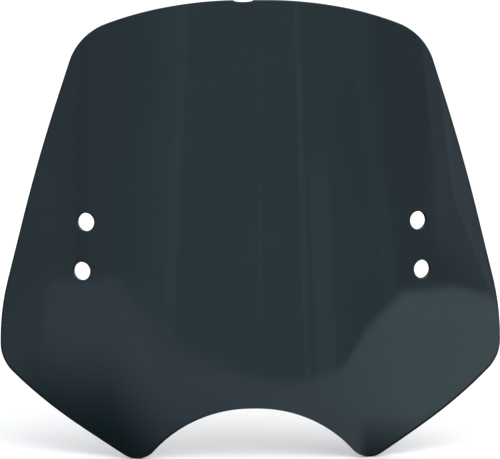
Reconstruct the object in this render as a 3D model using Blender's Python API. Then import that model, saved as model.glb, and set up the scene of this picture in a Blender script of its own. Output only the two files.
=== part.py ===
"""A motorcycle windshield screen: one tinted plastic sheet, cut to shape and then hot formed.

Metres, +Z up. The bulging front faces -Y, the rider sits on the +Y side, and +X is to the right
as the screen is seen from the front. The origin is the middle of the four bracket holes, level
with the front face beside them.
"""

import math

import bmesh
import bpy
from mathutils import Matrix, Vector

# The sheet
THICKNESS = 0.00476
WIDTH = 0.457
HEIGHT = 0.4110
RISE = 0.2213

# Crown, from the middle of the top edge to the top corners
CROWN_FLAT = 0.0396
CROWN_BEND = 0.1008
CROWN_DROP = 0.0101
CROWN_RADIUS = 0.366
CROWN_OUTER_RADIUS = 0.302
TOP_WIDTH = 0.3106
TOP_CORNER_DROP = 0.0312
TOP_CORNER_RADIUS = 0.0557

# Sides, from the top corners down to the widest place
SIDE_BOW = 0.0044
SIDE_BOW_PLACE = 0.453
SIDE_RADIUS = 1.620
FLARE_DROP = 0.0614
FLARE_RADIUS = 0.230
SIDE_CORNER_DROP = 0.1068
SIDE_CORNER_RADIUS = 0.0343

# Feet, and the arch that clears the headlight between them
CHEEK_BOW = 0.0066
CHEEK_BOW_PLACE = 0.345
CHEEK_RADIUS = 0.400
FOOT_SPACING = 0.2026
FOOT_POINT = 0.0063
FOOT_RADIUS = 0.0207
ARCH_HEIGHT = 0.0460
ARCH_FLAT = 0.0548
ARCH_RADIUS = 0.1160

# Notch in the top edge, a little left of the middle
NOTCH_WIDTH = 0.018
NOTCH_DEPTH = 0.0018
NOTCH_OFFSET = -0.0088

# Bracket holes, two on each wing, and the flat land that their washers sit on
HOLE_DIAMETER = 0.0165
HOLE_SPAN = 0.3033
HOLE_PITCH = 0.0445
HOLE_SPLAY = math.radians(4.9)
LAND_WIDTH = 0.044
LAND_INSET = 0.0176

# Form: a slow curve over the middle, a tighter bend, the flat lands, then curved outer edges.
# The whole wrap tightens a little upward, like a cone
CENTRE_HALF = 0.073
CENTRE_LEAN = math.radians(7.5)
WING_LEAN = math.radians(22.0)
EDGE_RUN = 0.058
EDGE_LEAN = math.radians(30.5)
CONE_APEX = 1.300

# How finely the faces are cut
CELL_WIDTH = 0.009
CELL_HEIGHT = 0.012
ARC_CHORD = 0.010
ARC_TURN = math.radians(8.0)
HOLE_SIDES = 32
SAME_POINT = 1e-6

FEET = RISE - HEIGHT


def clear_scene():
    for thing in list(bpy.data.objects):
        bpy.data.objects.remove(thing, do_unlink=True)


def bowed(start, end, place, bow):
    """The point a given share of the way from start to end, pushed out to the left of that way."""
    along = end - start
    out = Vector((-along.y, along.x)).normalized()
    return start + along * place + out * bow


def rounded(corners, radii):
    """The corners joined by straight lines, each inner corner turned into an arc of its radius.

    Two arcs that would overlap on the line between them are both drawn smaller, to meet on it.
    """
    arms = []
    for before, corner, after in zip(corners, corners[1:], corners[2:]):
        arms.append(((before - corner).normalized(), (after - corner).normalized()))
    reaches = [0.0]
    for (back, ahead), radius in zip(arms, radii):
        reaches.append(radius / math.tan(back.angle(ahead) / 2))
    reaches.append(0.0)
    shares = []
    for start, end, reach, next_reach in zip(corners, corners[1:], reaches, reaches[1:]):
        shares.append(min(1.0, (end - start).length / (reach + next_reach)))
    points = [corners[0]]
    for index, (back, ahead) in enumerate(arms):
        corner = corners[index + 1]
        radius = radii[index] * min(shares[index], shares[index + 1])
        half_angle = back.angle(ahead) / 2
        centre = corner + (back + ahead).normalized() * radius / math.sin(half_angle)
        spoke = corner + back * radius / math.tan(half_angle) - centre
        turn = math.pi - 2 * half_angle
        if back.cross(ahead) > 0:
            turn = -turn
        steps = max(1, math.ceil(abs(turn) * radius / ARC_CHORD), math.ceil(abs(turn) / ARC_TURN))
        for step in range(steps + 1):
            point = centre + Matrix.Rotation(turn * step / steps, 2) @ spoke
            if (point - points[-1]).length > SAME_POINT:
                points.append(point)
    points.append(corners[-1])
    return points


def half_outline():
    """The right half of the cut edge, from the middle of the crown to the middle of the arch."""
    top_corner = Vector((TOP_WIDTH / 2, RISE - TOP_CORNER_DROP))
    flare = Vector((WIDTH / 2, -FLARE_DROP))
    side_corner = Vector((WIDTH / 2, -SIDE_CORNER_DROP))
    foot = Vector((FOOT_SPACING / 2, FEET - FOOT_POINT))
    corners = [
        Vector((0, RISE)),
        Vector((CROWN_FLAT, RISE)),
        Vector((CROWN_BEND, RISE - CROWN_DROP)),
        top_corner,
        bowed(top_corner, flare, SIDE_BOW_PLACE, SIDE_BOW),
        flare,
        side_corner,
        bowed(side_corner, foot, CHEEK_BOW_PLACE, CHEEK_BOW),
        foot,
        Vector((ARCH_FLAT, FEET + ARCH_HEIGHT)),
        Vector((0, FEET + ARCH_HEIGHT)),
    ]
    radii = [
        CROWN_RADIUS,
        CROWN_OUTER_RADIUS,
        TOP_CORNER_RADIUS,
        SIDE_RADIUS,
        FLARE_RADIUS,
        SIDE_CORNER_RADIUS,
        CHEEK_RADIUS,
        FOOT_RADIUS,
        ARCH_RADIUS,
    ]
    return rounded(corners, radii)


def outline():
    """The whole cut edge as one loop."""
    right = half_outline()
    left = [Vector((-point.x, point.y)) for point in reversed(right[1:-1])]
    return right + left


def wrap_zones():
    """Each zone of the wrap as its outer half-width and the sheet's lean there."""
    land_inner = HOLE_SPAN / 2 - LAND_INSET
    land_outer = land_inner + LAND_WIDTH
    return [
        (CENTRE_HALF, CENTRE_LEAN),
        (land_inner, WING_LEAN),
        (land_outer, WING_LEAN),
        (land_outer + EDGE_RUN, EDGE_LEAN),
    ]


def wrap_depth(half_width):
    """How far the sheet has swept back at a half-width, as arcs and straights that meet smoothly."""
    depth = 0.0
    inner = 0.0
    lean = 0.0
    for outer, next_lean in wrap_zones():
        run = min(half_width, outer) - inner
        if next_lean == lean:
            depth += run * math.tan(lean)
        else:
            radius = (outer - inner) / (math.sin(next_lean) - math.sin(lean))
            here = math.asin(math.sin(lean) + run / radius)
            depth += radius * (math.cos(lean) - math.cos(here))
        if half_width <= outer:
            return depth
        inner = outer
        lean = next_lean
    return depth + (half_width - inner) * math.tan(lean)


def sweep(x, z):
    """How far behind the middle line the front face is at a place seen from the front.

    The wrap tightens upward like a cone.
    """
    scale = (CONE_APEX - z) / CONE_APEX
    return scale * wrap_depth(abs(x) / scale)


def form(x, z):
    """The front face's place along Y, counted from the lands between the holes."""
    return sweep(x, z) - sweep(HOLE_SPAN / 2, 0)


def surface(x, z):
    return Vector((x, form(x, z), z))


def front_normal(x, z, step=1e-4):
    """The unit normal of the front face, pointing out to the front."""
    across = surface(x + step, z) - surface(x - step, z)
    up = surface(x, z + step) - surface(x, z - step)
    return across.cross(up).normalized()


def hole_places():
    """The four hole centres, as x and z, named by side and row."""
    out = HOLE_PITCH / 2 * math.sin(HOLE_SPLAY)
    up = HOLE_PITCH / 2 * math.cos(HOLE_SPLAY)
    places = {}
    for side, sign in (("left", -1), ("right", 1)):
        places[side, "upper"] = (sign * (HOLE_SPAN / 2 - out), up)
        places[side, "lower"] = (sign * (HOLE_SPAN / 2 + out), -up)
    return places


def land_circle(x, z, radius, sides):
    """A circle lying on the sheet around a point of a flat land, seen straight from the front."""
    normal = front_normal(x, z)
    across = Vector((0, 0, 1)).cross(normal).normalized()
    up = normal.cross(across)
    ring = []
    for side in range(sides):
        angle = 2 * math.pi * side / sides
        spot = across * radius * math.cos(angle) + up * radius * math.sin(angle)
        ring.append(Vector((x + spot.x, z + spot.z)))
    return ring


def prism(name, loops, half_length):
    """Closed loops in x and z, pushed out along Y to both sides of the blank."""
    mesh = bpy.data.meshes.new(name)
    bm = bmesh.new()
    for loop in loops:
        front = [bm.verts.new((point.x, -half_length, point.y)) for point in loop]
        face = bm.faces.new(front)
        pushed = bmesh.ops.extrude_face_region(bm, geom=[face])
        back = [item for item in pushed["geom"] if isinstance(item, bmesh.types.BMVert)]
        bmesh.ops.translate(bm, verts=back, vec=(0, 2 * half_length, 0))
    bmesh.ops.recalc_face_normals(bm, faces=bm.faces[:])
    bm.to_mesh(mesh)
    bm.free()
    thing = bpy.data.objects.new(name, mesh)
    bpy.context.collection.objects.link(thing)
    thing.hide_render = True
    thing.display_type = "WIRE"
    return thing


def notch_loop():
    """An ellipse centred on the top edge, of which the lower half bites into the sheet."""
    edge = RISE
    right = half_outline()
    for before, after in zip(right, right[1:]):
        if before.x <= abs(NOTCH_OFFSET) <= after.x:
            share = (abs(NOTCH_OFFSET) - before.x) / (after.x - before.x)
            edge = before.y + share * (after.y - before.y)
    loop = []
    for side in range(HOLE_SIDES):
        angle = 2 * math.pi * side / HOLE_SIDES
        reach = NOTCH_WIDTH / 2 * math.cos(angle)
        loop.append(Vector((NOTCH_OFFSET + reach, edge + NOTCH_DEPTH * math.sin(angle))))
    return loop


def gridded_blank():
    """A thin slab whose two faces are cut into cells, large enough for the outline."""
    depth = 0.002
    columns = math.ceil(WIDTH / CELL_WIDTH) + 2
    rows = math.ceil((HEIGHT + FOOT_POINT) / CELL_HEIGHT) + 2
    middle = RISE - HEIGHT / 2
    mesh = bpy.data.meshes.new("blank")
    bm = bmesh.new()
    bmesh.ops.create_grid(bm, x_segments=columns, y_segments=rows, size=0.5)
    for vert in bm.verts:
        across = vert.co.x * columns * CELL_WIDTH
        up = middle + vert.co.y * rows * CELL_HEIGHT
        vert.co = Vector((across, -depth / 2, up))
    pushed = bmesh.ops.extrude_face_region(bm, geom=bm.faces[:])
    back = [item for item in pushed["geom"] if isinstance(item, bmesh.types.BMVert)]
    bmesh.ops.translate(bm, verts=back, vec=(0, depth, 0))
    bmesh.ops.recalc_face_normals(bm, faces=bm.faces[:])
    bm.to_mesh(mesh)
    bm.free()
    thing = bpy.data.objects.new("blank", mesh)
    bpy.context.collection.objects.link(thing)
    return thing


def flat_sheet():
    """The blank cut to the outline with its holes and notch, as one layer of faces facing -Y."""
    blank = gridded_blank()
    template = prism("template", [outline()], 0.010)
    loops = [land_circle(x, z, HOLE_DIAMETER / 2, HOLE_SIDES) for x, z in hole_places().values()]
    cuts = prism("cuts", loops + [notch_loop()], 0.010)
    trim = blank.modifiers.new("trim", "BOOLEAN")
    trim.operation = "INTERSECT"
    trim.object = template
    pierce = blank.modifiers.new("pierce", "BOOLEAN")
    pierce.operation = "DIFFERENCE"
    pierce.object = cuts
    seen = blank.evaluated_get(bpy.context.evaluated_depsgraph_get())
    mesh = bpy.data.meshes.new_from_object(seen)
    for thing in (blank, template, cuts):
        bpy.data.objects.remove(thing, do_unlink=True)
    bm = bmesh.new()
    bm.from_mesh(mesh)
    behind = [face for face in bm.faces if face.normal.y > -0.5]
    bmesh.ops.delete(bm, geom=behind, context="FACES")
    bmesh.ops.remove_doubles(bm, verts=bm.verts[:], dist=1e-5)
    bm.to_mesh(mesh)
    bm.free()
    return mesh


def tinted_acrylic():
    material = bpy.data.materials.new("smoke_acrylic")
    material.use_nodes = True
    shader = material.node_tree.nodes["Principled BSDF"]
    shader.inputs["Base Color"].default_value = (0.021, 0.030, 0.036, 1)
    shader.inputs["Roughness"].default_value = 0.08
    shader.inputs["Metallic"].default_value = 0.0
    shader.inputs["IOR"].default_value = 1.49
    return material


def make_screen():
    mesh = flat_sheet()
    mesh.name = "screen"
    for vert in mesh.vertices:
        vert.co.y = form(vert.co.x, vert.co.z)
    mesh.materials.clear()
    mesh.materials.append(tinted_acrylic())
    screen = bpy.data.objects.new("screen", mesh)
    bpy.context.collection.objects.link(screen)
    mesh.shade_smooth()
    thicken = screen.modifiers.new("thicken", "SOLIDIFY")
    thicken.thickness = THICKNESS
    thicken.offset = -1
    thicken.use_even_offset = True
    return screen


clear_scene()
make_screen()
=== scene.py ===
# %% [markdown]
# # A smoke-tinted motorcycle windshield screen
#
# The real object is a single sheet of tinted acrylic. A maker cuts the outline and the bracket
# holes out of flat sheet, polishes the cut edges, warms the sheet until it is limp, and presses
# it over a form. This lesson follows the same order, because it is also the easiest order in
# Blender: draw the outline flat, fill it, cut it into small cells, open the holes, bend it,
# give it a thickness, and round its edges.

import math

import bmesh
import bpy
from mathutils import Matrix, Vector


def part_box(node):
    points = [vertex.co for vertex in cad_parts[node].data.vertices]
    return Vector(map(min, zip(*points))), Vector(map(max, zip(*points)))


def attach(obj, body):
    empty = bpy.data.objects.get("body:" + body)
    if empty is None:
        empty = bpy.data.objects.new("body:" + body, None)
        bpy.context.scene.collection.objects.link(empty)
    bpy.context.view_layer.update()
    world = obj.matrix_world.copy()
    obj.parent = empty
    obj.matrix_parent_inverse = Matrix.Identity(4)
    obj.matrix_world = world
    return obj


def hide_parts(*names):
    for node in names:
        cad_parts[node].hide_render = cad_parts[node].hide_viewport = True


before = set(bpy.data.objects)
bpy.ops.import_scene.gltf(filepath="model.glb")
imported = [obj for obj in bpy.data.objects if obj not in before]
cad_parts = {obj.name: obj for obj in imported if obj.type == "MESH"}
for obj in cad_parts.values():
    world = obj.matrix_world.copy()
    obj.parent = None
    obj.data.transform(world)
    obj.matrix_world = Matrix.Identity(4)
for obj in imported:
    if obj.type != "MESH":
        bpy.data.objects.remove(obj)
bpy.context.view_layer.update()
low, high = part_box("screen")
print("CAD screen", [round((high[i] - low[i]) * 1000, 1) for i in range(3)], "mm")

# %% [markdown]
# ## The sizes that drive everything
#
# The sheet's width and its top come from the model. The rest are the drawing's own sizes, in
# metres: +Z is up, the bulging front faces -Y, and the middle of the four bracket holes is the
# origin. Seen from the front, the outline needs only nine corners on each side.

# %% Sizes of the outline
HALF_WIDTH = (high[0] - low[0]) / 2
RISE = high[2]
HEIGHT = 0.4110
FEET = RISE - HEIGHT
THICKNESS = 0.00476

TOP_CORNER = Vector((0.1553, 0, RISE - 0.0312))
FLARE = Vector((HALF_WIDTH, 0, -0.0614))
SIDE_CORNER = Vector((HALF_WIDTH, 0, -0.1068))
FOOT = Vector((0.1013, 0, FEET - 0.0063))
ARCH_TOP = FEET + 0.0460
print("sheet", round(HALF_WIDTH * 2000, 1), "x", round(HEIGHT * 1000, 1), "mm")

# %% [markdown]
# ## The corners and their radii
#
# Every side of the outline is slightly bowed. A bowed side is drawn as two straight lines that
# meet at a shallow corner, and a large radius then turns that corner into a long, slow arc.
# The same rule makes the tight corners, so one list holds the whole half outline.

# %% The half outline as corners


def bowed(start, end, place, bow):
    """A point part of the way along a side, pushed out of the sheet by the bow."""
    along = end - start
    out = Vector((-along.z, 0, along.x)).normalized()
    return start + along * place + out * bow


corners = [
    (Vector((0, 0, RISE)), 0),
    (Vector((0.0396, 0, RISE)), 0.366),
    (Vector((0.1008, 0, RISE - 0.0101)), 0.302),
    (TOP_CORNER, 0.0557),
    (bowed(TOP_CORNER, FLARE, 0.453, 0.0044), 1.62),
    (FLARE, 0.230),
    (SIDE_CORNER, 0.0343),
    (bowed(SIDE_CORNER, FOOT, 0.345, 0.0066), 0.400),
    (FOOT, 0.0207),
    (Vector((0.0548, 0, ARCH_TOP)), 0.116),
    (Vector((0, 0, ARCH_TOP)), 0),
]
print(len(corners) - 2, "rounded corners on each side")

# %% [markdown]
# ## Drawing the arcs
#
# A circular arc is what `bmesh.ops.spin` makes when it turns one vertex about a centre. For
# each corner, the centre lies on the line that halves the corner, and the arc starts where a
# circle of that radius touches the first side. Two neighbouring arcs may not overlap, so the
# room between two corners is shared out between them.

# %% Spin an arc into every corner
CHORD = 0.0025
FEWEST_STEPS = 6
MOST_STEPS = 48


def arc_plan():
    """Start point, centre, turn and radius of the arc in each inner corner."""
    arms = []
    for (before, _), (corner, _), (after, _) in zip(corners, corners[1:], corners[2:]):
        arms.append(((before - corner).normalized(), (after - corner).normalized()))
    reaches = [0.0]
    for (back, ahead), (_, radius) in zip(arms, corners[1:]):
        reaches.append(radius / math.tan(back.angle(ahead) / 2))
    reaches.append(0.0)
    rooms = []
    for (start, _), (end, _), one, other in zip(corners, corners[1:], reaches, reaches[1:]):
        rooms.append(min(1.0, (end - start).length / (one + other)))
    plan = []
    for index, (back, ahead) in enumerate(arms):
        corner, radius = corners[index + 1]
        radius = radius * min(rooms[index], rooms[index + 1])
        half_angle = back.angle(ahead) / 2
        start = corner + back * radius / math.tan(half_angle)
        centre = corner + (back + ahead).normalized() * radius / math.sin(half_angle)
        turn = math.pi - 2 * half_angle
        if back.cross(ahead).y > 0:
            turn = -turn
        plan.append((start, centre, turn, radius))
    return plan


def draw_half(bm):
    """The right half of the outline as a chain of edges."""
    chain_end = bm.verts.new(corners[0][0])
    for start, centre, turn, radius in arc_plan():
        vert = bm.verts.new(start)
        bm.edges.new((chain_end, vert))
        steps = math.ceil(abs(turn) * radius / CHORD)
        steps = min(max(steps, FEWEST_STEPS), MOST_STEPS)
        spun = bmesh.ops.spin(
            bm, geom=[vert], cent=centre, axis=(0, 1, 0), angle=turn, steps=steps
        )
        chain_end = next(v for v in spun["geom_last"] if isinstance(v, bmesh.types.BMVert))
    bm.edges.new((chain_end, bm.verts.new(corners[-1][0])))


sheet = bmesh.new()
draw_half(sheet)
print("half outline:", len(sheet.verts), "vertices")

# %% [markdown]
# ## The notch, the other half, and the face
#
# The top edge has one shallow notch a little left of the middle, so the two halves aren't quite
# mirror images. The plain half is mirrored with `bmesh.ops.mirror`, its long straight edges are
# divided so that they can bend later, and the notch is pressed into the top edge afterwards by
# lowering the vertices under it.

# %% Mirror and fill
SAME_PLACE = 1e-6
bmesh.ops.mirror(
    sheet, geom=sheet.verts[:] + sheet.edges[:], axis="X", merge_dist=SAME_PLACE
)
bmesh.ops.remove_doubles(sheet, verts=sheet.verts[:], dist=SAME_PLACE)
for edge in sheet.edges[:]:
    pieces = math.ceil(edge.calc_length() / CHORD)
    if pieces > 1:
        bmesh.ops.subdivide_edges(sheet, edges=[edge], cuts=pieces - 1)

NOTCH_MIDDLE = -0.0088
NOTCH_HALF = 0.009
NOTCH_DEPTH = 0.0018
NOTCH_STEPS = 6
for step in range(2 * NOTCH_STEPS + 1):
    place = NOTCH_MIDDLE + NOTCH_HALF * (step / NOTCH_STEPS - 1)
    bmesh.ops.bisect_plane(
        sheet,
        geom=sheet.verts[:] + sheet.edges[:],
        plane_co=(place, 0, 0),
        plane_no=(1, 0, 0),
        dist=1e-7,
    )
for vert in sheet.verts:
    share = (vert.co.x - NOTCH_MIDDLE) / NOTCH_HALF
    if abs(share) < 1 and vert.co.z > 0:
        vert.co.z -= NOTCH_DEPTH * math.sqrt(1 - share * share)

bmesh.ops.contextual_create(sheet, geom=sheet.edges[:])
if sheet.faces[0].normal.y > 0:
    bmesh.ops.reverse_faces(sheet, faces=sheet.faces[:])
print("outline:", len(sheet.verts), "vertices, area", round(sheet.faces[0].calc_area(), 4), "m2")

# %% [markdown]
# ## Cells small enough to bend
#
# One large face can't bend. First an inset leaves a narrow margin that follows the outline, so
# that the edge can be rounded evenly later. Then `bisect_plane` slices the face inside it into
# small cells, the way a wire cheese cutter would.

# %% Inset a margin and slice the rest
MARGIN = 0.0022
CELL = 0.004

bmesh.ops.inset_individual(sheet, faces=sheet.faces[:], thickness=MARGIN, use_even_offset=True)
inner = max(sheet.faces, key=lambda face: face.calc_area())
inner_faces = [inner]


def slice_inner(place, direction):
    """Cuts the faces inside the margin along one plane."""
    edges = {edge for face in inner_faces for edge in face.edges}
    verts = {vert for face in inner_faces for vert in face.verts}
    bmesh.ops.bisect_plane(
        sheet,
        geom=inner_faces + list(edges) + list(verts),
        plane_co=place,
        plane_no=direction,
        dist=1e-5,
    )


margin_faces = {face for face in sheet.faces if face is not inner}
columns = math.ceil(HALF_WIDTH / CELL)
for column in range(-columns, columns + 1):
    slice_inner((column * CELL, 0, 0), (1, 0, 0))
    inner_faces = [face for face in sheet.faces if face not in margin_faces]
rows_down = math.floor(FEET / CELL)
rows_up = math.ceil(RISE / CELL)
for row in range(rows_down, rows_up + 1):
    slice_inner((0, 0, row * CELL), (0, 0, 1))
    inner_faces = [face for face in sheet.faces if face not in margin_faces]
print("cells:", len(inner_faces), "and margin:", len(margin_faces))

# %% [markdown]
# ## The form that the sheet is pressed over
#
# Seen from above, the screen is a slow curve over the middle, a tighter bend, a flat land for
# the washers, and a curved outer edge. Each stretch is an arc whose lean runs evenly from one
# value to the next. The whole wrap tightens a little towards the top, like a cone.

# %% The form as a formula
HOLE_SPAN = 0.3033
HOLE_PITCH = 0.0445
HOLE_SPLAY = math.radians(4.9)
HOLE_RADIUS = 0.00825
CONE_APEX = 1.300
LAND_INNER = HOLE_SPAN / 2 - 0.0176
LAND_OUTER = LAND_INNER + 0.044
WRAP = [
    (0.073, math.radians(7.5)),
    (LAND_INNER, math.radians(22.0)),
    (LAND_OUTER, math.radians(22.0)),
    (LAND_OUTER + 0.058, math.radians(30.5)),
]


def wrap_depth(half_width):
    """How far the sheet has swept back at a distance from the middle."""
    depth = 0.0
    inner_end = 0.0
    lean = 0.0
    for outer_end, next_lean in WRAP:
        run = min(half_width, outer_end) - inner_end
        if next_lean == lean:
            depth += run * math.tan(lean)
        else:
            radius = (outer_end - inner_end) / (math.sin(next_lean) - math.sin(lean))
            here = math.asin(math.sin(lean) + run / radius)
            depth += radius * (math.cos(lean) - math.cos(here))
        if half_width <= outer_end:
            return depth
        inner_end = outer_end
        lean = next_lean
    return depth + (half_width - inner_end) * math.tan(lean)


def sweep(x, z):
    """How far behind the middle line the front face is."""
    scale = (CONE_APEX - z) / CONE_APEX
    return scale * wrap_depth(abs(x) / scale)


LAND_DEPTH = sweep(HOLE_SPAN / 2, 0)
print("the middle stands", round(LAND_DEPTH * 1000, 1), "mm in front of the lands")

# %% [markdown]
# ## Four bracket holes
#
# A hole is opened as a sheet-metal worker would chain-drill it: the cells around the place are
# taken out, two clean rings of vertices go in, and `bridge_loops` closes the gaps between the
# rings and the ragged opening. Each ring waits in front of the sheet, so that no bridge can
# cross another, and the bend in the next step brings all of it back to the form. The holes are
# square to the leaning lands, so seen from the front each ring is a circle narrowed by that
# lean.

# %% Open the holes
HOLE_STEPS = 64
CLEARED_ROUND = 0.0045
COLLAR = 0.0016
COLLAR_LIFT = 0.01
HOLE_LIFT = 0.02
WING_NORMAL = Vector((0.3745, -0.9269, 0.0237))


def ring(place, side, radius, lift):
    """A ring of edges around a hole, narrowed as the lean will need, held in front of the sheet."""
    made = bmesh.ops.create_circle(sheet, segments=HOLE_STEPS, radius=radius)
    normal = Vector((side * WING_NORMAL.x, WING_NORMAL.y, WING_NORMAL.z))
    across = Vector((0, 0, 1)).cross(normal).normalized()
    up = normal.cross(across)
    for vert in made["verts"]:
        spot = across * vert.co.x + up * vert.co.y
        vert.co = (place.x + spot.x, -lift, place.z + spot.z)
    return list({edge for vert in made["verts"] for edge in vert.link_edges})


def open_hole(place, side):
    """Takes out the cells around a place and bridges them to two rings."""
    clear = HOLE_RADIUS + CLEARED_ROUND
    doomed = []
    for face in sheet.faces:
        middle = face.calc_center_median()
        if (middle - place).length < clear:
            doomed.append(face)
    rim = set()
    for face in doomed:
        rim.update(face.edges)
    inside = set(doomed)
    rim = [edge for edge in rim if any(face not in inside for face in edge.link_faces)]
    bmesh.ops.delete(sheet, geom=doomed, context="FACES")
    rim = [edge for edge in rim if edge.is_valid]
    outer_ring = ring(place, side, HOLE_RADIUS + COLLAR, COLLAR_LIFT)
    inner_ring = ring(place, side, HOLE_RADIUS, HOLE_LIFT)
    bmesh.ops.bridge_loops(sheet, edges=rim + outer_ring)
    bmesh.ops.bridge_loops(sheet, edges=outer_ring + inner_ring)


out = HOLE_PITCH / 2 * math.sin(HOLE_SPLAY)
up = HOLE_PITCH / 2 * math.cos(HOLE_SPLAY)
for side in (-1, 1):
    open_hole(Vector((side * (HOLE_SPAN / 2 - out), 0, up)), side)
    open_hole(Vector((side * (HOLE_SPAN / 2 + out), 0, -up)), side)
print("four holes of", round(HOLE_RADIUS * 2000, 1), "mm")

# %% [markdown]
# ## Bending, and giving the sheet its wall
#
# Each vertex moves straight to the form. The wall then grows at right angles to the
# front face: the faces are extruded, and the new layer is pushed back along the normals.

# %% Bend and thicken
for vert in sheet.verts:
    vert.co.y = sweep(vert.co.x, vert.co.z) - LAND_DEPTH


def form_normal(x, z, step=1e-4):
    """The unit normal of the form, pointing out of the front."""
    across = Vector((2 * step, sweep(x + step, z) - sweep(x - step, z), 0))
    upward = Vector((0, sweep(x, z + step) - sweep(x, z - step), 2 * step))
    return across.cross(upward).normalized()


extruded = bmesh.ops.extrude_face_region(sheet, geom=sheet.faces[:])
for item in extruded["geom"]:
    if isinstance(item, bmesh.types.BMVert):
        item.co -= form_normal(item.co.x, item.co.z) * THICKNESS
bmesh.ops.recalc_face_normals(sheet, faces=sheet.faces[:])
print("closed:", all(edge.is_manifold for edge in sheet.edges))
print("volume", round(sheet.calc_volume(signed=True) * 1e6, 1), "cm3")

# %% [markdown]
# ## Rounded, polished edges
#
# Cut acrylic has its sharp edges scraped and flame polished. A bevel with a few segments makes
# that small round along the outline and around each hole, on both faces.

# %% Round the edges
EDGE_ROUND = 0.0008
SHARP = math.radians(60)
LEAST_FACING = 0.7
MOST_WALL_FACING = 0.6
sharp = [edge for edge in sheet.edges if edge.calc_face_angle(0) > SHARP]
wall_corners = []
for edge in sharp:
    facing = [abs(face.normal.y) for face in edge.link_faces]
    if max(facing) > LEAST_FACING and min(facing) < MOST_WALL_FACING:
        wall_corners.append(edge)
bmesh.ops.bevel(
    sheet,
    geom=wall_corners,
    offset=EDGE_ROUND,
    offset_type="OFFSET",
    affect="EDGES",
    segments=3,
    profile=0.5,
    material=-1,
    clamp_overlap=True,
)
print("rounded", len(wall_corners), "edges;", len(sheet.faces), "faces")

# %% [markdown]
# ## One piece, two finishes
#
# The bmesh becomes the mesh of one object. Faces that look along the sheet's own normal are the
# glossy front and back, and they keep the first material. All others belong to the cut edges
# and the walls of the holes, and take the second. Weighted normals keep the large faces smooth
# right up to the small rounds.

# %% Make the piece
ALONG_NORMAL = 0.8
mesh = bpy.data.meshes.new("screen_sheet")
for face in sheet.faces:
    face.smooth = True
    middle = face.calc_center_median()
    if abs(face.normal.dot(form_normal(middle.x, middle.z))) < ALONG_NORMAL:
        face.material_index = 1
sheet.to_mesh(mesh)
sheet.free()
screen_sheet = bpy.data.objects.new("screen_sheet", mesh)
bpy.context.collection.objects.link(screen_sheet)
weigh = screen_sheet.modifiers.new("weighted normals", "WEIGHTED_NORMAL")
weigh.weight = 80
weigh.keep_sharp = True
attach(screen_sheet, "root")
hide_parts("screen")
print("triangles", sum(len(face.vertices) - 2 for face in mesh.polygons))

# %% [markdown]
# ## Smoke-tinted acrylic
#
# Tinted acrylic is clear plastic with a smoke dye all through it. Light is bent on its way in,
# loses most of its strength to the dye, and is bent again on its way out, so the shader is glass
# with a refractive index of 1.49. A dark base colour takes a share of the light at the surface,
# and a Volume Absorption takes the rest along the way, so a slanted look through the sheet is
# darker than a straight one.
#
# No sheet is perfect, so three noises work on it, all laid out in the object's own metres. A
# broad one shifts the tint a little, a streaky one dulls the gloss where a cloth has wiped it,
# and a faint one gives the slow waviness that hot forming leaves in the face.

# %% Helpers for the materials
NOISE_LOW = 0.3
NOISE_HIGH = 0.7


def noise(tree, scale, detail, stretch=(1, 1, 1)):
    """A Noise Texture on Object coordinates, in features per metre."""
    place = tree.nodes.new("ShaderNodeTexCoord")
    mapping = tree.nodes.new("ShaderNodeMapping")
    mapping.inputs["Scale"].default_value = stretch
    texture = tree.nodes.new("ShaderNodeTexNoise")
    texture.inputs["Scale"].default_value = scale
    texture.inputs["Detail"].default_value = detail
    tree.links.new(place.outputs["Object"], mapping.inputs["Vector"])
    tree.links.new(mapping.outputs[0], texture.inputs["Vector"])
    return texture.outputs["Fac"]


def shades(tree, factor, first, second):
    """A ramp between two colours over the middle of a noise."""
    ramp = tree.nodes.new("ShaderNodeValToRGB")
    ramp.color_ramp.elements[0].position = NOISE_LOW
    ramp.color_ramp.elements[0].color = (*first, 1)
    ramp.color_ramp.elements[1].position = NOISE_HIGH
    ramp.color_ramp.elements[1].color = (*second, 1)
    tree.links.new(factor, ramp.inputs[0])
    return ramp.outputs["Color"]


def surface_wave(tree, factor, distance):
    """A Bump of a given height in metres."""
    bump = tree.nodes.new("ShaderNodeBump")
    bump.inputs["Strength"].default_value = 1.0
    bump.inputs["Distance"].default_value = distance
    tree.links.new(factor, bump.inputs["Height"])
    return bump.outputs[0]


def between(tree, factor, low_value, high_value):
    """Spreads the middle of a noise over a span of values."""
    node = tree.nodes.new("ShaderNodeMapRange")
    tree.links.new(factor, node.inputs["Value"])
    node.inputs["From Min"].default_value = NOISE_LOW
    node.inputs["From Max"].default_value = NOISE_HIGH
    node.inputs["To Min"].default_value = low_value
    node.inputs["To Max"].default_value = high_value
    return node.outputs[0]


print("noises are read from", NOISE_LOW, "to", NOISE_HIGH)

# %% The tint
ACRYLIC_IOR = 1.49
smoke = bpy.data.materials.new("smoke_acrylic")
smoke.use_nodes = True
tree = smoke.node_tree
shader = tree.nodes["Principled BSDF"]
tint = shades(tree, noise(tree, 14, 3), (0.285, 0.345, 0.385), (0.315, 0.375, 0.415))
tree.links.new(tint, shader.inputs["Base Color"])
gloss = between(tree, noise(tree, 20, 4, (1, 1, 6)), 0.014, 0.030)
tree.links.new(gloss, shader.inputs["Roughness"])
wave = surface_wave(tree, noise(tree, 45, 1), 0.000006)
tree.links.new(wave, shader.inputs["Normal"])
shader.inputs["IOR"].default_value = ACRYLIC_IOR
shader.inputs["Transmission Weight"].default_value = 1.0
dye = tree.nodes.new("ShaderNodeVolumeAbsorption")
dye.inputs["Color"].default_value = (0.082, 0.203, 0.216, 1)
dye.inputs["Density"].default_value = 800
tree.links.new(dye.outputs[0], tree.nodes["Material Output"].inputs["Volume"])
mesh.materials.append(smoke)
print(smoke.name, "has", len(tree.nodes), "nodes")

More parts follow.
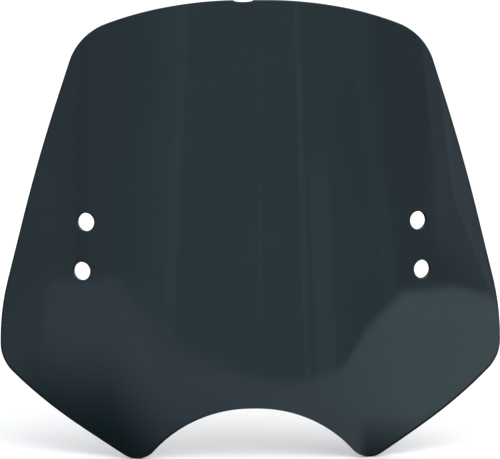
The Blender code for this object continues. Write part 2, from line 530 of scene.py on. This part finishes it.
# %% [markdown]
# ## The cut edges
#
# Seen end on, the dye is centimetres deep, so the cut edges and the walls of the holes look
# almost black. They are sanded and flame polished, never as glossy as the faces. A dark satin
# finish shows that, with fine marks that run round the edge.

# %% The edge finish
cut_edge = bpy.data.materials.new("cut_edge")
cut_edge.use_nodes = True
tree = cut_edge.node_tree
shader = tree.nodes["Principled BSDF"]
dark = shades(tree, noise(tree, 60, 3), (0.0020, 0.0026, 0.0030), (0.0040, 0.0052, 0.0058))
tree.links.new(dark, shader.inputs["Base Color"])
satin = between(tree, noise(tree, 150, 4), 0.22, 0.38)
tree.links.new(satin, shader.inputs["Roughness"])
marks = surface_wave(tree, noise(tree, 400, 2, (1, 6, 1)), 0.00004)
tree.links.new(marks, shader.inputs["Normal"])
shader.inputs["IOR"].default_value = ACRYLIC_IOR
mesh.materials.append(cut_edge)
print("materials:", [material.name for material in mesh.materials])

# %% [markdown]
# ## The floor
#
# The screen stands on its two feet on a pale floor that fills the view behind it. The floor
# takes light and shadow, but is kept out of reflections: what the glossy sheet mirrors is set
# by the room, in the next steps, where it is easier to shape.

# %% The floor
FLOOR_HALF = 26.0
floor_mesh = bpy.data.meshes.new("floor")
bm = bmesh.new()
bmesh.ops.create_grid(bm, x_segments=2, y_segments=2, size=FLOOR_HALF)
bmesh.ops.translate(bm, vec=(0, 0, low[2]), verts=bm.verts[:])
bm.to_mesh(floor_mesh)
bm.free()
floor = bpy.data.objects.new("floor", floor_mesh)
floor.visible_glossy = False
bpy.context.collection.objects.link(floor)
pale = bpy.data.materials.new("pale_floor")
pale.use_nodes = True
pale_shader = pale.node_tree.nodes["Principled BSDF"]
pale_shader.inputs["Base Color"].default_value = (0.90, 0.90, 0.90, 1)
pale_shader.inputs["Roughness"].default_value = 0.9
pale_shader.inputs["Specular IOR Level"].default_value = 0.1
floor_mesh.materials.append(pale)
print("floor at", round(low[2], 4))

# %% [markdown]
# ## The room
#
# A glossy sheet shows the room more than it shows its own colour. The World answers three kinds
# of ray in three ways: the camera and a look through the sheet see a pale sky, the floor gets a
# soft, dim light, and a reflection sees the room. First come small helpers that write a sum as
# nodes, then the direction of the ray as two angles in degrees.

# %% Helpers for the World's nodes
world = bpy.data.worlds.new("studio")
bpy.context.scene.world = world
world.use_nodes = True
room = world.node_tree.nodes
wires = world.node_tree.links
room.clear()


def feed(socket, value):
    """Links a socket, or sets it when the value is a plain number."""
    if isinstance(value, (int, float)):
        socket.default_value = value
    else:
        wires.new(value, socket)


def calculate(operation, first, second=0.0):
    """A Math node fed by two sockets or numbers."""
    node = room.new("ShaderNodeMath")
    node.operation = operation
    feed(node.inputs[0], first)
    feed(node.inputs[1], second)
    return node.outputs[0]


def ease(value, start, end, low_result, high_result):
    """A smooth change from one result to another as the value goes from start to end."""
    node = room.new("ShaderNodeMapRange")
    node.interpolation_type = "SMOOTHSTEP"
    for socket, item in zip(node.inputs, (value, start, end, low_result, high_result)):
        feed(socket, item)
    return node.outputs[0]


def background(colour, strength):
    """One World shader of a plain colour."""
    node = room.new("ShaderNodeBackground")
    node.inputs["Color"].default_value = (*colour, 1)
    feed(node.inputs["Strength"], strength)
    return node.outputs[0]


def choose(factor, no, yes):
    """A Mix Shader that takes the second shader where the factor is 1."""
    node = room.new("ShaderNodeMixShader")
    wires.new(factor, node.inputs[0])
    wires.new(no, node.inputs[1])
    wires.new(yes, node.inputs[2])
    return node.outputs[0]


def along_compass(stops, blend):
    """A value that runs from stop to stop around the compass, as angle and value pairs."""
    ramp = room.new("ShaderNodeValToRGB")
    ramp.color_ramp.interpolation = blend
    wires.new(calculate("ADD", calculate("DIVIDE", compass, 180.0), 0.5), ramp.inputs[0])
    elements = ramp.color_ramp.elements
    while len(elements) < len(stops):
        elements.new(0.5)
    for element, (angle, value) in zip(elements, stops):
        element.position = angle / 180 + 0.5
        element.color = (value, value, value, 1)
    return ramp.outputs["Color"]


direction = room.new("ShaderNodeTexCoord").outputs["Generated"]
parts = room.new("ShaderNodeSeparateXYZ")
wires.new(direction, parts.inputs[0])
forward = calculate("MULTIPLY", parts.outputs["Y"], -1.0)
turned = calculate("ARCTAN2", parts.outputs["X"], forward)
compass = calculate("MULTIPLY", turned, math.degrees(1))
height = calculate("MULTIPLY", calculate("ARCSINE", parts.outputs["Z"]), math.degrees(1))
print("compass angle 0 is straight in front, and rises to the right")

# %% [markdown]
# ## What the sheet mirrors: the pale part
#
# Low down, the room is pale, as a lit floor is. Its upper rim dips in the middle, as if
# something dark stood in front. The rim is crisp to the right and softer left of the middle.
# Still lower, next to the feet, the pale part sinks into shade, most of all on the left.

# %% The pale part, its rim and its shade
RIM_LOWEST = -9.9
SHADE_SLANT = 0.07
rim_share = along_compass([
    (-90, 0.45),
    (-50, 0.50),
    (-40, 0.54),
    (-28, 0.69),
    (-14, 0.88),
    (3, 1.00),
    (16, 0.96),
    (28, 0.80),
    (42, 0.62),
    (52, 0.53),
    (62, 0.44),
    (90, 0.40),
], "B_SPLINE")
rim = calculate("MULTIPLY", rim_share, RIM_LOWEST)
below = calculate("SUBTRACT", rim, height)
softness = along_compass([
    (-90, 0.40),
    (-40, 0.40),
    (-30, 1.00),
    (-14, 1.00),
    (-4, 0.60),
    (10, 0.30),
    (90, 0.25),
], "LINEAR")
pale_share = ease(
    below, calculate("MULTIPLY", softness, -0.5), calculate("MULTIPLY", softness, 0.5), 0.0, 1.0
)
pale_left = ease(compass, -47.0, -44.9, 0.58, 0.84)
pale_right = ease(compass, -14.0, 66.0, 0.0, 0.56)
pale_strength = calculate("ADD", pale_left, pale_right)

left_side = ease(compass, 2.0, -14.0, 0.0, 1.0)
left_shade = calculate("MULTIPLY", left_side, ease(below, 0.9, 3.0, 0.0, 1.0))
right_side = ease(compass, 22.5, 28.0, 0.0, 0.9)
slanting = calculate("SUBTRACT", height, calculate("MULTIPLY", compass, SHADE_SLANT))
right_shade = calculate("MULTIPLY", right_side, ease(slanting, -11.3, -12.3, 0.0, 1.0))
clear_of_shade = calculate(
    "MULTIPLY", calculate("SUBTRACT", 1.0, left_shade), calculate("SUBTRACT", 1.0, right_shade)
)
print("the pale part's rim is between", 0.4 * RIM_LOWEST, "and", RIM_LOWEST, "degrees high")

# %% [markdown]
# ## What the sheet mirrors: the upright stripes
#
# Above the rim the room is a dim grey with soft upright stripes, as curtains and door frames
# give, and a lighter wall far to the right. A stripe is two smooth steps, one up and one down.
# Two of the stripes lean, so their place on the compass shifts with height, and the lighter wall
# is cut off below by a sill that slants down to the right.

# %% Stripes
STRIPE_LEAN = 1.6
SILL_HEIGHT = -3.3
SILL_SLANT = 6.2
FAR_RIGHT = 150.0


def stripe(place, start, end, soft, strength):
    """A band of extra brightness between two places, with soft sides."""
    rise = ease(place, start - soft / 2, start + soft / 2, 0.0, strength)
    fall = ease(place, end - soft / 2, end + soft / 2, 1.0, 0.0)
    return calculate("MULTIPLY", rise, fall)


stripes = along_compass([
    (-90, 0.49),
    (-47, 0.49),
    (-44, 0.44),
    (-30, 0.45),
    (-24, 0.47),
    (12, 0.48),
    (22, 0.45),
    (38, 0.45),
    (50, 0.42),
    (90, 0.44),
], "LINEAR")
leaning = calculate("ADD", compass, calculate("MULTIPLY", height, STRIPE_LEAN))
under_sill = calculate("MAXIMUM", 0.0, calculate("SUBTRACT", SILL_HEIGHT, height))
wall_place = calculate("SUBTRACT", compass, calculate("MULTIPLY", under_sill, SILL_SLANT))
above_rim = ease(height, -5.2, -4.2, 0.0, 1.0)
low_strip = calculate(
    "MULTIPLY", stripe(compass, 14.2, 18.2, 1.2, 0.14), ease(height, -4.2, -6.0, 0.0, 1.0)
)
for extra in (
    stripe(compass, -45.15, -44.95, 0.15, -0.10),
    stripe(compass, -25.8, -17.4, 1.6, 0.05),
    stripe(compass, -17.2, -13.0, 0.5, 0.11),
    stripe(compass, 3.2, 3.9, 0.4, 0.06),
    stripe(compass, 11.8, 13.1, 0.3, 0.13),
    low_strip,
    stripe(leaning, 30.3, 31.1, 0.4, 0.12),
    stripe(leaning, 31.0, 38.0, 1.0, 0.05),
    calculate("MULTIPLY", stripe(compass, 49.75, FAR_RIGHT, 0.3, 0.24), above_rim),
    stripe(wall_place, 53.2, FAR_RIGHT, 0.4, 0.18),
    calculate("MULTIPLY", stripe(wall_place, 53.1, 53.9, 0.3, 0.14), above_rim),
):
    stripes = calculate("ADD", stripes, extra)
print("World nodes with the stripes:", len(room))

# %% [markdown]
# ## The World's answer to each ray
#
# The sides of the room are a cooler grey than the middle. The Light Path node says which kind
# of ray is asking. A ray that is bent on its way through the sheet counts as glossy too, so a
# mirrored ray is one that is both glossy and a reflection.

# %% Put the room together


def mix_colours(factor, first, second):
    """A colour between two plain colours."""
    node = room.new("ShaderNodeMix")
    node.data_type = "RGBA"
    wires.new(factor, node.inputs["Factor"])
    node.inputs[6].default_value = (*first, 1)
    node.inputs[7].default_value = (*second, 1)
    return node.outputs[2]


def coloured_background(colour, strength):
    """A World shader whose colour and strength both come from nodes."""
    node = room.new("ShaderNodeBackground")
    wires.new(colour, node.inputs["Color"])
    wires.new(calculate("MULTIPLY", strength, clear_of_shade), node.inputs["Strength"])
    return node.outputs[0]


path = room.new("ShaderNodeLightPath").outputs
mirrored = calculate("MULTIPLY", path["Is Glossy Ray"], path["Is Reflection Ray"])
pale_sky = background((1.0, 1.0, 1.0), 1.0)
soft_fill = background((0.97, 0.99, 1.02), 0.85)
sideways = calculate(
    "MAXIMUM", ease(compass, -34.0, -45.0, 0.0, 1.0), ease(compass, 42.0, 50.0, 0.0, 1.0)
)
room_colour = mix_colours(sideways, (0.74, 0.94, 1.00), (0.73, 0.84, 1.00))
dim_room = coloured_background(room_colour, stripes)
pale_colour = mix_colours(
    ease(compass, -12.0, 25.0, 0.0, 1.0), (0.68, 0.80, 1.00), (0.72, 0.91, 1.00)
)
pale_room = coloured_background(pale_colour, pale_strength)
inside = choose(pale_share, dim_room, pale_room)
lit = choose(path["Is Diffuse Ray"], pale_sky, soft_fill)
exit_node = room.new("ShaderNodeOutputWorld")
wires.new(choose(mirrored, lit, inside), exit_node.inputs["Surface"])
print("World nodes:", len(room))

# %% [markdown]
# ## The lights
#
# The main light is very wide and stands to the right and in front, so its soft, faint shadow
# runs back and to the left on the floor. A weaker light behind lifts the edges.

# %% Lamps


def soft_sun(name, compass_angle, height_angle, spread, strength):
    """A far, wide light. The compass angle is 0 in front of the sheet and rises to the right."""
    light = bpy.data.lights.new(name, "SUN")
    light.angle = math.radians(spread)
    light.energy = strength
    lamp = bpy.data.objects.new(name, light)
    compass_turn = math.radians(compass_angle)
    tilt = math.radians(height_angle)
    source = Vector((
        math.sin(compass_turn) * math.cos(tilt),
        -math.cos(compass_turn) * math.cos(tilt),
        math.sin(tilt),
    ))
    lamp.rotation_euler = source.to_track_quat("Z", "Y").to_euler()
    bpy.context.collection.objects.link(lamp)
    print(name, "from", [round(value, 2) for value in source])


soft_sun("key_front", 48, 52, 80, 1.65)
soft_sun("rim_behind", 150, 55, 60, 0.30)

# %% [markdown]
# ## The camera
#
# It looks at the front from a little above and a little left of the middle, from two and a half
# metres away, so that there is hardly any perspective.

# %% The camera
CAMERA_AZIMUTH = math.radians(-2.2)
CAMERA_ELEVATION = math.radians(6.7)
CAMERA_DISTANCE = 2.6
CAMERA_ROLL = math.radians(-0.08)
VIEW_WIDTH = 0.4485
target = Vector((-0.0022, -0.003, 0.015))
back = Vector((
    math.sin(CAMERA_AZIMUTH) * math.cos(CAMERA_ELEVATION),
    -math.cos(CAMERA_AZIMUTH) * math.cos(CAMERA_ELEVATION),
    math.sin(CAMERA_ELEVATION),
))
cam_data = bpy.data.cameras.new("camera")
cam_data.sensor_width = 36
cam_data.lens = 36 * CAMERA_DISTANCE / VIEW_WIDTH
camera = bpy.data.objects.new("camera", cam_data)
camera.location = target + back * CAMERA_DISTANCE
turn = (-back).to_track_quat("-Z", "Y").to_matrix() @ Matrix.Rotation(CAMERA_ROLL, 3, "Z")
camera.rotation_euler = turn.to_euler()
bpy.context.collection.objects.link(camera)
bpy.context.scene.camera = camera
bpy.context.scene.view_settings.view_transform = "Standard"
print("camera", [round(value, 3) for value in camera.location])
